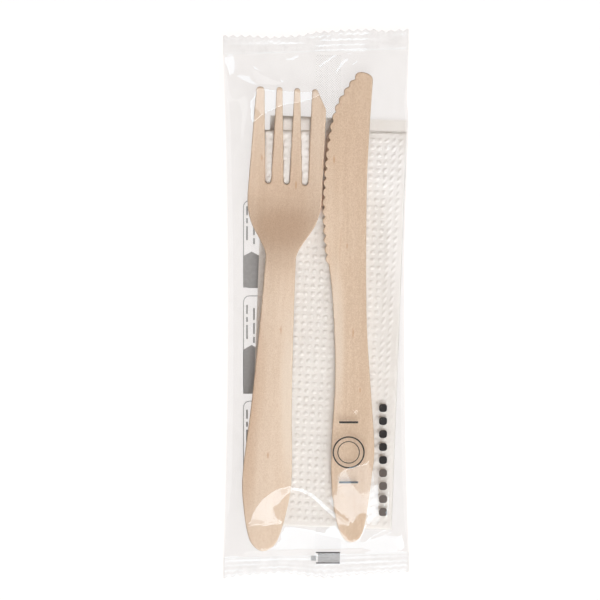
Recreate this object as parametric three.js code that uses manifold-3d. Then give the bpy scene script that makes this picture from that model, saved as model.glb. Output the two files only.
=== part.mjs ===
// Wooden cutlery kit: a fork and a knife of pressed wood on a folded paper napkin, in a clear film sachet.
// Millimetres. The kit lies on its back: +Y runs to the tine tips, +X to the knife, +Z up to the viewer.
// The origin is under the middle of the sachet, on the surface that it lies on.
import * as THREE from "three";
import { mergeVertices } from "three/addons/utils/BufferGeometryUtils.js";
import Module from "manifold-3d";

const wasm = await Module();
wasm.setup();

// Fork, measured from the end of its handle
const forkLength = 162.2;
const forkThickness = 1.7;
const forkHandleWidth = 17.2;
const forkHandleAt = 26;
const forkNeckWidth = 10.6;
const forkNeckAt = 100;
const forkHeadWidth = 26;
const forkHeadAt = 124;
const forkNeckRise = 5.5;
const forkTipRise = 2;
const forkHandleCrown = 0.7;
const forkBowlDish = 0.9;

// Tines and the slots between them
const tineCount = 4;
const tineLength = 34;
const tineTipWidth = 2.1;
const tineTipPitch = 6.2;
const tineLean = 1.05;
const slotPitch = 6.45;
const slotLean = 0.3;
const slotWidth = 2.2;
const slantTineLength = 7.2;
const slantTineInset = 0.5;
const plainTineInset = 0.7;
const plainTineRound = 1.85;

// Knife, measured from the end of its handle
const knifeLength = 164.2;
const knifeThickness = 1.7;
const knifeHandleWidth = 14.9;
const knifeHandleAt = 34;
const knifeWaistWidth = 12.1;
const knifeWaistAt = 58;
const knifeWaistOffset = 0.7;
const bladeWidth = 14.4;
const bladeAt = 119;
const bladeOffset = 4.4;
const bladeTipWidth = 6.05;
const bladeTipLength = 2.7;
const knifeDish = 0.4;
const toothCount = 20;
const toothDepth = 1;
const toothedFrom = 97;
const toothedTo = knifeLength - bladeTipLength;

// Napkin, folded in half over its lower edge
const napkinWidth = 50;
const napkinLength = 138;
const napkinLip = 5.2;
const napkinLipInset = 2.1;
const napkinLeaf = 1.3;

// How the pieces lie
const forkX = -18.7;
const forkTurn = 3.6;
const forkBelowNapkin = 8.2;
const knifeTurn = 1.3;
const knifeAboveForkEnd = 3;
const cutleryGap = 0.15;
const napkinX = 1.4;
const napkinTurn = 2.2;
const seatGap = 0.3;

// Film sachet
const filmThickness = 0.05;
const filmGap = 0.35;
const leftRoom = 6.6;
const rightRoom = 0.5;
const topRoom = 7.2;
const bottomRoom = 1.5;
const waistPull = 1.6;
const sideFold = 0.6;
const sealWidth = 6.1;
const sealLift = 2;
const sealRidges = 4;
const ridgeHeight = 0.4;
const sealMouth = 0.2;
const endSlope = 0.03;
const cutPitch = 2.9;
const cutDepth = 0.9;
const finWidth = 8.8;
const finGap = 0.1;
const finSlit = 0.05;

// Heights of the stack, from the surface up
const finStack = 2 * filmThickness + finSlit + finGap;
const napkinZ = finStack + filmThickness + seatGap;
const napkinThickness = 2 * napkinLeaf;
const cutleryZ = napkinZ + napkinThickness + seatGap;

// Straight steps in each curve of an outline
const curveSteps = 4;

const { smoothstep, degToRad, lerp, clamp } = THREE.MathUtils;
const v2 = (x, y) => new THREE.Vector2(x, y);

// A closed three.js geometry as a solid that can be cut and joined
function solidOf(geometry) {
  const bare = geometry.clone();
  bare.deleteAttribute("normal");
  bare.deleteAttribute("uv");
  const merged = mergeVertices(bare, 1e-5);
  const mesh = new wasm.Mesh({
    numProp: 3,
    vertProperties: merged.attributes.position.array,
    triVerts: new Uint32Array(merged.index.array),
  });
  return new wasm.Manifold(mesh);
}

function geometryOf(solid) {
  const { vertProperties, triVerts } = solid.getMesh();
  const geometry = new THREE.BufferGeometry();
  geometry.setAttribute("position", new THREE.BufferAttribute(vertProperties, 3));
  geometry.setIndex(new THREE.BufferAttribute(triVerts, 1));
  geometry.computeVertexNormals();
  return geometry;
}

// An outline drawn in plan, as an upright prism from low to high
function uprightPrism(shape, low, high, curveSegments = curveSteps) {
  const prism = new THREE.ExtrudeGeometry(shape, { depth: high - low, bevelEnabled: false, curveSegments });
  return solidOf(prism.translate(0, 0, low));
}

// Where a piece lies in plan: its own origin, and its turn clockwise as seen from above
class Place {
  constructor(x, y, turn) {
    this.x = x;
    this.y = y;
    this.angle = -degToRad(turn);
  }

  toKit(point) {
    return point.clone().rotateAround(v2(0, 0), this.angle).add(v2(this.x, this.y));
  }

  toPiece(point) {
    return point.clone().sub(v2(this.x, this.y)).rotateAround(v2(0, 0), -this.angle);
  }

  put(mesh, z) {
    mesh.position.set(this.x, this.y, z);
    mesh.rotation.z = this.angle;
    return mesh;
  }
}

// Fork outline: one smooth line round the handle, then tine tips and slot roots from right to left
function forkShape() {
  const handle = forkHandleWidth / 2;
  const neck = forkNeckWidth / 2;
  const head = forkHeadWidth / 2;
  const taper = (width, along) => v2(lerp(neck, handle, width), lerp(forkHandleAt, forkNeckAt, along));
  const flare = (width, along) => v2(lerp(neck, head, width), lerp(forkNeckAt, forkHeadAt, along));
  const round = (width, along) => v2(handle * width, forkHandleAt * along);
  const rightSide = [
    round(0.42, 0.075),
    round(0.65, 0.23),
    round(0.86, 0.54),
    taper(1, 0),
    taper(0.52, 0.35),
    taper(0.19, 0.7),
    flare(0, 0),
    flare(0.03, 0.17),
    flare(0.27, 0.33),
    flare(0.74, 0.58),
    flare(0.94, 0.79),
    flare(1, 1),
  ];
  const leftSide = rightSide.map((point) => v2(-point.x, point.y)).reverse();
  const shape = new THREE.Shape();
  shape.moveTo(leftSide[0].x, leftSide[0].y);
  shape.splineThru([...leftSide.slice(1), v2(0, 0), ...rightSide]);

  const tipRadius = tineTipWidth / 2;
  const rootY = forkLength - tineLength + slotWidth / 2;
  const middle = (tineCount - 1) / 2;
  shape.lineTo(head - slantTineInset, forkLength - slantTineLength);
  for (let tine = tineCount - 1; tine >= 0; tine--) {
    const tipX = (tine - middle) * tineTipPitch - tineLean;
    const tipLeft = tine > 0 ? tipX - tipRadius : plainTineInset - head;
    const sideY = forkLength - (tine > 0 ? tipRadius : plainTineRound);
    shape.lineTo(tipX + tipRadius, sideY);
    shape.bezierCurveTo(tipX + tipRadius, forkLength, tipLeft, forkLength, tipLeft, sideY);
    if (tine > 0) {
      const slotX = (tine - 0.5 - middle) * slotPitch + slotLean;
      shape.lineTo(slotX + slotWidth / 2, rootY);
      shape.absarc(slotX, rootY, slotWidth / 2, 0, Math.PI, true);
    }
  }
  shape.closePath();
  return shape;
}

// Height of the fork's underside: the handle climbs to the neck, the bowl drops, the tips lift
function forkHeight(x, y) {
  const bowlAt = forkHeadAt + slotWidth;
  const drop = smoothstep(y, forkNeckAt - forkNeckWidth / 2, bowlAt);
  const climb = forkNeckRise * Math.max(0, y / forkNeckAt) * (1 - drop);
  const lift = forkTipRise * Math.max(0, (y - bowlAt) / (forkLength - bowlAt)) ** 2;
  const crown = forkHandleCrown * Math.max(0, 1 - (2 * x / forkHandleWidth) ** 2) * (1 - drop);
  const dish = forkBowlDish * (2 * x / forkHeadWidth) ** 2 * drop;
  return climb + lift + crown + dish;
}

// Knife outline: the spine from the handle's end to the tip, then the toothed edge back down
function knifeShape() {
  const handle = knifeHandleWidth / 2;
  const waistRight = knifeWaistWidth / 2 - knifeWaistOffset;
  const waistLeft = -knifeWaistWidth / 2 - knifeWaistOffset;
  const bladeRight = bladeWidth / 2 - bladeOffset;
  const bladeLeft = -bladeWidth / 2 - bladeOffset;
  const tipRight = bladeRight + bladeTipWidth * 0.21;
  const tipLeft = tipRight - bladeTipWidth;
  const shoulder = (along) => lerp(toothedTo, knifeLength, along);
  const shape = new THREE.Shape();
  shape.moveTo(0, 0);
  shape.splineThru([
    v2(handle * 0.38, knifeHandleAt * 0.04),
    v2(handle * 0.61, knifeHandleAt * 0.17),
    v2(handle * 0.77, knifeHandleAt * 0.4),
    v2(handle * 0.92, knifeHandleAt * 0.7),
    v2(handle, knifeHandleAt),
    v2(waistRight, knifeWaistAt),
    v2(lerp(waistRight, bladeRight, 0.66), lerp(knifeWaistAt, bladeAt, 0.36)),
    v2(bladeRight, bladeAt),
    v2(lerp(bladeRight, tipRight, 0.25), lerp(bladeAt, toothedTo, 0.5)),
    v2(tipRight, toothedTo),
  ]);
  shape.splineThru([
    v2(lerp(tipRight, tipLeft, 0.03), shoulder(0.3)),
    v2(lerp(tipRight, tipLeft, 0.12), shoulder(0.58)),
    v2(lerp(tipRight, tipLeft, 0.36), shoulder(0.88)),
    v2(lerp(tipRight, tipLeft, 0.68), knifeLength),
    v2(lerp(tipRight, tipLeft, 0.92), shoulder(0.86)),
    v2(tipLeft - toothDepth * 0.2, shoulder(0.46)),
    v2(tipLeft, toothedTo),
  ]);
  const edge = (width, along) => v2(lerp(tipLeft, bladeLeft, width), lerp(toothedTo, bladeAt, along));
  const notches = new THREE.SplineCurve([
    edge(0, 0),
    edge(0.21, 0.055),
    edge(0.4, 0.13),
    edge(0.58, 0.2),
    edge(0.69, 0.28),
    edge(0.87, 0.5),
    edge(0.96, 0.76),
    edge(1, 1),
    v2(lerp(bladeLeft, waistLeft, 0.1), lerp(bladeAt, toothedFrom, 0.5)),
    v2(lerp(bladeLeft, waistLeft, 0.36), toothedFrom),
  ]).getSpacedPoints(toothCount);
  for (let tooth = 0; tooth < toothCount; tooth++) {
    const [from, to] = [notches[tooth], notches[tooth + 1]];
    const along = to.clone().sub(from).normalize();
    const swell = from.clone().lerp(to, 0.5).add(v2(along.y, -along.x).multiplyScalar(2 * toothDepth));
    shape.quadraticCurveTo(swell.x, swell.y, to.x, to.y);
  }
  shape.splineThru([
    v2(lerp(bladeLeft, waistLeft, 0.72), lerp(toothedFrom, knifeWaistAt, 0.35)),
    v2(waistLeft, knifeWaistAt),
    v2(-handle, knifeHandleAt),
    v2(-handle * 0.96, knifeHandleAt * 0.6),
    v2(-handle * 0.83, knifeHandleAt * 0.36),
    v2(-handle * 0.61, knifeHandleAt * 0.15),
    v2(-handle * 0.33, knifeHandleAt * 0.035),
    v2(0, 0),
  ]);
  return shape;
}

// The knife is nearly flat: its sides curl up a little along the middle
function knifeHeight(x, y) {
  const bend = Math.sin(Math.PI * clamp(y / knifeLength, 0, 1));
  return knifeDish * bend * (2 * (x + knifeWaistOffset) / bladeWidth) ** 2;
}

// Pressed wood: a flat blank of even thickness, bent to a height over its plan, then cut to its outline
function pressedWood(shape, thickness, height, xSteps, ySteps) {
  const { min, max } = new THREE.Box2().setFromPoints(shape.getPoints());
  const size = max.clone().sub(min).addScalar(2 * cutleryGap);
  const middle = max.clone().add(min).multiplyScalar(0.5);
  const blank = new THREE.BoxGeometry(size.x, size.y, thickness, xSteps, ySteps, 1);
  blank.translate(middle.x, middle.y, thickness / 2);
  const at = blank.attributes.position;
  for (let i = 0; i < at.count; i++) {
    at.setZ(i, at.getZ(i) + height(at.getX(i), at.getY(i)));
  }
  const reach = 2 * (thickness + forkNeckRise + forkTipRise + forkHandleCrown + forkBowlDish + knifeDish);
  return solidOf(blank).intersect(uprightPrism(shape, -reach, reach));
}

// The napkin from its lower fold up: two leaves, round where they fold, the lower one longer by its lip
function napkinSolid() {
  const leaf = napkinLeaf;
  const round = leaf / 2;
  const half = napkinWidth / 2;
  const across = new THREE.Shape();
  across.moveTo(-half, 0);
  across.lineTo(half - round, 0);
  across.absarc(half - round, round, round, -Math.PI / 2, Math.PI / 2, false);
  across.absarc(half - round, leaf + round, round, -Math.PI / 2, Math.PI / 2, false);
  across.lineTo(-half, 2 * leaf);
  across.lineTo(-half + round / 2, leaf);
  across.closePath();
  const along = new THREE.Shape();
  along.moveTo(napkinLength + napkinLip, 0);
  along.lineTo(napkinLength + napkinLip, leaf);
  along.lineTo(napkinLength, leaf);
  along.lineTo(napkinLength, 2 * leaf);
  along.lineTo(leaf, 2 * leaf);
  along.absarc(leaf, leaf, leaf, Math.PI / 2, Math.PI * 1.5, false);
  along.closePath();
  const long = 2 * (napkinLength + napkinLip);
  const acrossPrism = new THREE.ExtrudeGeometry(across, {
    depth: long,
    bevelEnabled: false,
    curveSegments: curveSteps,
  });
  acrossPrism.rotateX(Math.PI / 2).translate(0, long / 2 + napkinLength / 2, 0);
  const alongPrism = new THREE.ExtrudeGeometry(along, {
    depth: 2 * napkinWidth,
    bevelEnabled: false,
    curveSegments: curveSteps,
  });
  alongPrism.rotateX(Math.PI / 2).rotateZ(Math.PI / 2).translate(-napkinWidth, 0, 0);
  const besideLip = rectangle(-napkinWidth, napkinLipInset - half, napkinLength, long);
  const leaves = solidOf(acrossPrism).intersect(solidOf(alongPrism));
  return leaves.subtract(uprightPrism(new THREE.Shape(besideLip), -leaf, napkinThickness));
}

// Where the cutlery lies on the napkin; the knife is slid up to the fork until the gap between them is left
const napkinPlace = new Place(napkinX, 0, napkinTurn);
const forkPlace = new Place(forkX, -forkBelowNapkin, forkTurn);
const forkPlan = forkShape();
const knifePlan = knifeShape();
const forkLine = forkPlan.getPoints(curveSteps).map((point) => forkPlace.toKit(point));
const knifeY = forkPlace.y + knifeAboveForkEnd;
const knifeAtFork = new Place(forkX, knifeY, knifeTurn);
const knifeLineAtFork = knifePlan.getPoints(curveSteps).map((point) => knifeAtFork.toKit(point));
const knifePlace = new Place(forkX + slideBeside(forkLine, knifeLineAtFork), knifeY, knifeTurn);
const knifeLine = knifePlan.getPoints(curveSteps).map((point) => knifePlace.toKit(point));

// How far the right-hand line has to move to the right to clear the left-hand one by the cutlery gap
function slideBeside(leftLine, rightLine) {
  const crossings = (line, y) => {
    const found = [];
    for (let i = 0; i < line.length; i++) {
      const [a, b] = [line[i], line[(i + 1) % line.length]];
      if ((a.y > y) !== (b.y > y)) found.push(lerp(a.x, b.x, (y - a.y) / (b.y - a.y)));
    }
    return found;
  };
  let slide = -Infinity;
  for (const { y } of [...leftLine, ...rightLine]) {
    const left = crossings(leftLine, y);
    const right = crossings(rightLine, y);
    if (left.length && right.length) slide = Math.max(slide, Math.max(...left) - Math.min(...right));
  }
  return slide + cutleryGap;
}

// The napkin's outline in plan, with points along its edges
const napkinCorners = [
  v2(-napkinWidth / 2, 0),
  v2(napkinWidth / 2, 0),
  v2(napkinWidth / 2, napkinLength + napkinLip),
  v2(-napkinWidth / 2, napkinLength + napkinLip),
].map((point) => napkinPlace.toKit(point));
const napkinEdgeSteps = 40;
const napkinLine = napkinCorners.flatMap((corner, i) => {
  const next = napkinCorners[(i + 1) % napkinCorners.length];
  const shares = Array.from({ length: napkinEdgeSteps }, (_, step) => step / napkinEdgeSteps);
  return shares.map((share) => corner.clone().lerp(next, share));
});

// What the film is drawn over: each piece's outline in plan, and the height of its top
const contents = [
  {
    line: forkLine,
    top: (point) => {
      const local = forkPlace.toPiece(point);
      return cutleryZ + forkThickness + forkHeight(local.x, local.y);
    },
  },
  {
    line: knifeLine,
    top: (point) => {
      const local = knifePlace.toPiece(point);
      return cutleryZ + knifeThickness + knifeHeight(local.x, local.y);
    },
  },
  { line: napkinLine, top: () => napkinZ + napkinThickness },
];
for (const piece of contents) {
  piece.bounds = new THREE.Box2().setFromPoints(piece.line);
}

function isInside(line, point) {
  let inside = false;
  for (let i = 0, j = line.length - 1; i < line.length; j = i++) {
    const [a, b] = [line[i], line[j]];
    if (a.y > point.y !== b.y > point.y && point.x < lerp(a.x, b.x, (point.y - a.y) / (b.y - a.y))) {
      inside = !inside;
    }
  }
  return inside;
}

// The sachet's reach in plan: the contents and the room left round them
const reach = new THREE.Box2().setFromPoints(contents.flatMap((piece) => piece.line));
const filmLeft = reach.min.x - leftRoom;
const filmRight = reach.max.x + rightRoom;
const sealBottom = reach.min.y - bottomRoom;
const sealTop = reach.max.y + topRoom;
const filmMiddle = v2((filmLeft + filmRight) / 2, (sealBottom + sealTop) / 2);

// Grid of the film's front: columns across, rows between the seals, one close row inside each seal
const columns = 18;
const rowSpacing = 4.6;
const closeRow = bottomRoom / 3;
const rowYs = rowsBetweenSeals();
const lastRow = rowYs.length - 1;

function rowsBetweenSeals() {
  const low = sealBottom + closeRow;
  const high = sealTop - closeRow;
  const steps = Math.ceil((high - low) / rowSpacing);
  const inner = Array.from({ length: steps + 1 }, (_, step) => lerp(low, high, step / steps));
  return [sealBottom, ...inner, sealTop];
}

// Sides of the sachet in plan: pulled in between the seals, and out again where the contents reach
const sides = rowYs.map((y) => {
  const share = 2 * (y - filmMiddle.y) / (sealTop - sealBottom);
  const pull = waistPull * (1 - share ** 2);
  const all = contents.flatMap((piece) => piece.line);
  const near = all.filter((point) => Math.abs(point.y - y) < rowSpacing + filmGap).map((point) => point.x);
  const clear = filmGap + filmThickness;
  return {
    left: Math.min(filmLeft + pull, Math.min(...near) - clear),
    right: Math.max(filmRight - pull, Math.max(...near) + clear),
  };
});

// The seals run at a slight slope across the sachet, which dies away towards its middle
function slopeAt(x, y) {
  const share = clamp(2 * (y - filmMiddle.y) / (sealTop - sealBottom), -1, 1);
  return endSlope * (x - filmMiddle.x) * share ** 2;
}

function gridX(column, row) {
  return lerp(sides[row].left, sides[row].right, column / columns);
}

// The back of the sachet: flat under the napkin, with a straight rise to the seals past its ends
const napkinBox = new THREE.Box2().setFromPoints(napkinCorners);

function backHeight(y) {
  const below = (napkinBox.min.y - y) / (napkinBox.min.y - sealBottom);
  const above = (y - napkinBox.max.y) / (sealTop - napkinBox.max.y);
  return sealLift * clamp(Math.max(below, above), 0, 1);
}

// The least height of the film at a grid point: over everything that the cells round the point hold
function heightNeeded(column, row) {
  const x = gridX(column, row);
  const low = rowYs[Math.max(0, row - 1)] - filmGap;
  const high = rowYs[Math.min(lastRow, row + 1)] + filmGap;
  const wide = (sides[row].right - sides[row].left) / columns + filmGap;
  const box = new THREE.Box2(v2(x - wide, low), v2(x + wide, high));
  const samples = 6;
  let needed = 0;
  for (const { line, top, bounds } of contents) {
    if (!bounds.intersectsBox(box)) continue;
    const points = line.filter((point) => box.containsPoint(point));
    for (let i = 0; i <= samples; i++) {
      for (let j = 0; j <= samples; j++) {
        const point = v2(lerp(box.min.x, box.max.x, i / samples), lerp(box.min.y, box.max.y, j / samples));
        if (isInside(line, point)) points.push(point);
      }
    }
    needed = Math.max(needed, ...points.map((point) => top(point) + filmGap + filmThickness));
  }
  return needed;
}

// The film's front: a taut skin, held at the seals and the side folds, drawn over the contents
function tautFront() {
  const needed = rowYs.map((_, row) => {
    return Array.from({ length: columns + 1 }, (_, column) => heightNeeded(column, row));
  });
  const mouth = sealLift + 2 * filmThickness + sealMouth;
  const front = rowYs.map((y, row) =>
    needed[row].map((least) => {
      const atSeal = row === 0 || row === lastRow;
      return atSeal ? mouth : Math.max(least, backHeight(y) + sideFold);
    }),
  );
  const rounds = 300;
  for (let round = 0; round < rounds; round++) {
    for (let row = 1; row < lastRow; row++) {
      const below = rowYs[row] - rowYs[row - 1];
      const above = rowYs[row + 1] - rowYs[row];
      const wide = (sides[row].right - sides[row].left) / columns;
      const [acrossPull, alongPull] = [1 / wide ** 2, 1 / (below * above)];
      for (let column = 1; column < columns; column++) {
        const across = (front[row][column - 1] + front[row][column + 1]) / 2;
        const along = (front[row - 1][column] * above + front[row + 1][column] * below) / (below + above);
        const mean = (across * acrossPull + along * alongPull) / (acrossPull + alongPull);
        front[row][column] = Math.max(needed[row][column], mean);
      }
    }
  }
  return front;
}

// A box whose grid is mapped onto the sachet: at(column, row, isTop) gives each point of its top and foot
function mappedBox(columnSteps, rowSteps, at) {
  const box = new THREE.BoxGeometry(columnSteps, rowSteps, 1, columnSteps, rowSteps, 1);
  const points = box.attributes.position;
  for (let i = 0; i < points.count; i++) {
    const column = Math.round(points.getX(i) + columnSteps / 2);
    const row = Math.round(points.getY(i) + rowSteps / 2);
    const point = at(column, row, points.getZ(i) > 0);
    points.setXYZ(i, point.x, point.y + slopeAt(point.x, point.y), point.z);
  }
  return solidOf(box);
}

// A section across the back, swept along it: its points hold x and the height over the back
function sweptAlongBack(section, low, high) {
  const kinks = [sealBottom, napkinBox.min.y, napkinBox.max.y, sealTop];
  const stations = [low, ...kinks.filter((y) => y > low && y < high), high].reverse();
  const steps = stations.length - 1;
  const shape = new THREE.Shape(section);
  const sweep = new THREE.ExtrudeGeometry(shape, { depth: steps, steps, bevelEnabled: false });
  const points = sweep.attributes.position;
  for (let i = 0; i < points.count; i++) {
    const y = stations[Math.round(points.getZ(i))];
    points.setXYZ(i, points.getX(i), y, backHeight(y) + points.getY(i));
  }
  return solidOf(sweep);
}

function rectangle(left, right, low, high) {
  return [v2(left, low), v2(right, low), v2(right, high), v2(left, high)];
}

// A pouch under the front skin, drawn in all round by an inset
function pouchUnder(front, inset) {
  const body = mappedBox(columns, lastRow, (column, row, isTop) => {
    const insetX = column === 0 ? inset : column === columns ? -inset : 0;
    const insetY = row === 0 ? inset : row === lastRow ? -inset : 0;
    const z = isTop ? front[row][column] - inset : -sealLift;
    return new THREE.Vector3(gridX(column, row) + insetX, rowYs[row] + insetY, z);
  });
  const far = filmRight - filmLeft;
  const overBack = rectangle(filmMiddle.x - far, filmMiddle.x + far, inset, far);
  return body.intersect(sweptAlongBack(overBack, sealBottom - far, sealTop + far));
}

// A sealed end: front and back welded into one band, pressed into ridges across it and cut to a saw edge
function sealBand(side) {
  const row = side > 0 ? lastRow : 0;
  const weld = 2 * filmThickness;
  const steps = 2 * sealRidges;
  const band = mappedBox(1, steps, (column, step, isTop) => {
    const into = side > 0 ? step : steps - step;
    const out = into ? into * (sealWidth + cutDepth) / steps : -filmThickness / 2;
    const ridge = into % 2 ? ridgeHeight : 0;
    const x = gridX(column * columns, row) + (column ? -weld : weld);
    const z = sealLift + sealMouth / 2 + ridge + (isTop ? weld : 0);
    return new THREE.Vector3(x, rowYs[row] + side * out, z);
  });
  return band.intersect(sawCut(side));
}

// The saw-toothed cut past a seal, as a prism that keeps what lies inside it
function sawCut(side) {
  const far = filmRight - filmLeft;
  const teeth = Math.ceil((2 * far) / cutPitch);
  const base = side > 0 ? sealTop + sealWidth : sealBottom - sealWidth;
  const cut = Array.from({ length: 2 * teeth + 1 }, (_, i) => {
    const x = filmMiddle.x - far + (i * cutPitch) / 2;
    return v2(x, base + endSlope * (x - filmMiddle.x) + (i % 2 ? side * cutDepth : 0));
  });
  const back = base - side * far;
  return uprightPrism(new THREE.Shape([...cut, v2(cut.at(-1).x, back), v2(cut[0].x, back)]), -far, far);
}

// The film sachet: one web of film wrapped round, its two edges joined in a fin that lies flat at the back
function sachetSolid() {
  const front = tautFront();
  const finLeft = filmMiddle.x;
  const finRight = finLeft + finWidth;
  const finTop = finStack - finGap;
  const rootRight = finLeft + 2 * filmThickness + finSlit;
  const roof = finStack + filmThickness;
  const [low, high] = [sealBottom + closeRow, sealTop - closeRow];
  const overFin = sweptAlongBack(
    rectangle(finLeft - 2 * finGap, finRight + 2 * finGap, -sealLift, roof),
    sealBottom - topRoom,
    sealTop + topRoom,
  );
  const besideFin = sweptAlongBack(rectangle(finLeft - finGap, finLeft, -sealLift, finStack), low, high);
  const roundFin = sweptAlongBack(
    [
      v2(finRight, -sealLift),
      v2(finRight + finGap, -sealLift),
      v2(finRight + finGap, finStack),
      v2(rootRight, finStack),
      v2(rootRight, finTop),
      v2(finRight, finTop),
    ],
    low,
    high,
  );
  const slit = sweptAlongBack(
    [
      v2(finLeft + filmThickness, filmThickness),
      v2(finRight + finGap / 2, filmThickness),
      v2(finRight + finGap / 2, filmThickness + finSlit),
      v2(finLeft + filmThickness + finSlit, filmThickness + finSlit),
      v2(finLeft + filmThickness + finSlit, roof + finGap),
      v2(finLeft + filmThickness, roof + finGap),
    ],
    low + closeRow,
    high - closeRow,
  );
  const hollow = pouchUnder(front, filmThickness).subtract(overFin);
  const pouch = pouchUnder(front, 0).subtract(hollow).add(sealBand(-1)).add(sealBand(1));
  return pouch.subtract(besideFin).subtract(roundFin).subtract(slit);
}

const forkWood = new THREE.MeshStandardMaterial({ color: 0xd6b999, roughness: 0.62, metalness: 0 });
const knifeWood = new THREE.MeshStandardMaterial({ color: 0xdbc2a8, roughness: 0.62, metalness: 0 });
const tissue = new THREE.MeshStandardMaterial({ color: 0xece6de, roughness: 0.9, metalness: 0 });
const clearFilm = new THREE.MeshStandardMaterial({
  color: 0xf2f0ee,
  roughness: 0.12,
  metalness: 0,
  transparent: true,
  opacity: 0.25,
});

function namedMesh(name, solid, material) {
  const mesh = new THREE.Mesh(geometryOf(solid), material);
  mesh.name = name;
  return mesh;
}

const forkSolid = pressedWood(forkPlan, forkThickness, forkHeight, 10, 54);
const knifeSolid = pressedWood(knifePlan, knifeThickness, knifeHeight, 6, 22);
const fork = forkPlace.put(namedMesh("fork", forkSolid, forkWood), cutleryZ);
const knife = knifePlace.put(namedMesh("knife", knifeSolid, knifeWood), cutleryZ);
const napkin = napkinPlace.put(namedMesh("napkin", napkinSolid(), tissue), napkinZ);
const sachet = namedMesh("film_sachet", sachetSolid(), clearFilm);

// The kit is moved so that the sachet's box is centred over the origin
const kit = new THREE.Group();
kit.add(sachet, napkin, fork, knife);
const sachetBox = new THREE.Box3().setFromObject(sachet);
const sachetMiddle = sachetBox.getCenter(new THREE.Vector3());
kit.position.set(-sachetMiddle.x, -sachetMiddle.y, -sachetBox.min.z);

const cutleryKit = new THREE.Group();
cutleryKit.add(kit);

export default cutleryKit;
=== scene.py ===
"""Dresses the cutlery kit: a birch fork and knife on an embossed tissue napkin, in a clear film sachet."""

import math

import bmesh
import bpy
import numpy as np
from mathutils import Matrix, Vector, noise
from mathutils.bvhtree import BVHTree


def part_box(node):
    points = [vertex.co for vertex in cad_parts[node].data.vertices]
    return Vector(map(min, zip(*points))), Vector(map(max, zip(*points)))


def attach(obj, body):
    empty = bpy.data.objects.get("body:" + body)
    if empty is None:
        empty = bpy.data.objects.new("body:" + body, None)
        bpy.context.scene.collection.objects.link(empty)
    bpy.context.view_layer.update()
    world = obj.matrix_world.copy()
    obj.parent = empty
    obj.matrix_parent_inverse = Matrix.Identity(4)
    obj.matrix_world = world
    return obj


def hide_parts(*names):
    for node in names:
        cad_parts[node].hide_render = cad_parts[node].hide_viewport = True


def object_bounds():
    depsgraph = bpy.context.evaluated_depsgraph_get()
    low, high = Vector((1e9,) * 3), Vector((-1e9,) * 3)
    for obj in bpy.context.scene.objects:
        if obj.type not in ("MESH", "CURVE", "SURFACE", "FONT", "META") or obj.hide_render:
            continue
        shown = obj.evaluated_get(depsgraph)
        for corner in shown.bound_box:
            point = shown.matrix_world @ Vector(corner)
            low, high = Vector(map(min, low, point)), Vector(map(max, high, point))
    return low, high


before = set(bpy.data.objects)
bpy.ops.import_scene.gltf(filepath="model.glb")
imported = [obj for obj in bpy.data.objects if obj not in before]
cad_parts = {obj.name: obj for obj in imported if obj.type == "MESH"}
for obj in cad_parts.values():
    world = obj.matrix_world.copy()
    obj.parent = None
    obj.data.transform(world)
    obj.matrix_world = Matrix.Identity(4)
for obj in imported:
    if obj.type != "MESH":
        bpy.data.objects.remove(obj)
cad_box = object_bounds()
MM = 0.001
FAR = 100 * MM
UP = Vector((0, 0, 1))
DOWN = Vector((0, 0, -1))

# How the pieces lie, in degrees clockwise from above, as in the solids
FORK_TURN = 3.6
KNIFE_TURN = 1.3
NAPKIN_TURN = 2.2

PIXELS_PER_METRE = 2865
ORIGIN_PIXEL = (316, 303.5)
PHOTO_PIXELS = 600


def from_pixel(px, py):
    """The place under a pixel of the photograph, in metres."""
    x = (px - ORIGIN_PIXEL[0]) / PIXELS_PER_METRE
    y = (ORIGIN_PIXEL[1] - py) / PIXELS_PER_METRE
    return Vector((x, y))


def to_pixel(x, y):
    """The photograph's columns and rows over places."""
    return x * PIXELS_PER_METRE + ORIGIN_PIXEL[0], ORIGIN_PIXEL[1] - y * PIXELS_PER_METRE


def smooth_step(low, high, value):
    share = np.clip((value - low) / (high - low), 0, 1)
    return share * share * (3 - 2 * share)


def between(rise, fall, value):
    """A share that comes in over one range of a value and goes out over another."""
    return smooth_step(*rise, value) * (1 - smooth_step(*fall, value))


def noise_grid(x, y, across, along, seed):
    """Noise over a grid of places, its fineness per metre."""
    return np.array([[noise.noise(Vector((p * across, q * along, seed))) for p, q in zip(ps, qs)]
                     for ps, qs in zip(x, y)])


# Node helpers
def new_material(name):
    """A material with its Principled shader, ready for nodes."""
    made = bpy.data.materials.new(name)
    made.use_nodes = True
    return made, made.node_tree, made.node_tree.nodes["Principled BSDF"]


def fill(tree, node, sockets):
    """Sets a node's sockets to values, or links them to others."""
    for key, value in sockets.items():
        if isinstance(value, bpy.types.NodeSocket):
            tree.links.new(value, node.inputs[key])
        else:
            node.inputs[key].default_value = value


def add_node(tree, kind, sockets=None, **settings):
    """A node with its settings and its filled sockets."""
    made = tree.nodes.new(kind)
    for key, value in settings.items():
        setattr(made, key, value)
    fill(tree, made, sockets or {})
    return made


def maths(tree, operation, *values, clamp=False):
    """A Math node's result."""
    sockets = dict(enumerate(values))
    return add_node(tree, "ShaderNodeMath", sockets, operation=operation, use_clamp=clamp).outputs[0]


def vector_maths(tree, operation, *values):
    """A Vector Math node."""
    return add_node(tree, "ShaderNodeVectorMath", dict(enumerate(values)), operation=operation)


def mixed(tree, factor, first, second, blend="MIX"):
    """Two colours mixed by a factor."""
    sockets = {0: factor, 6: first, 7: second}
    return add_node(tree, "ShaderNodeMix", sockets, data_type="RGBA", blend_type=blend).outputs[2]


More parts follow.
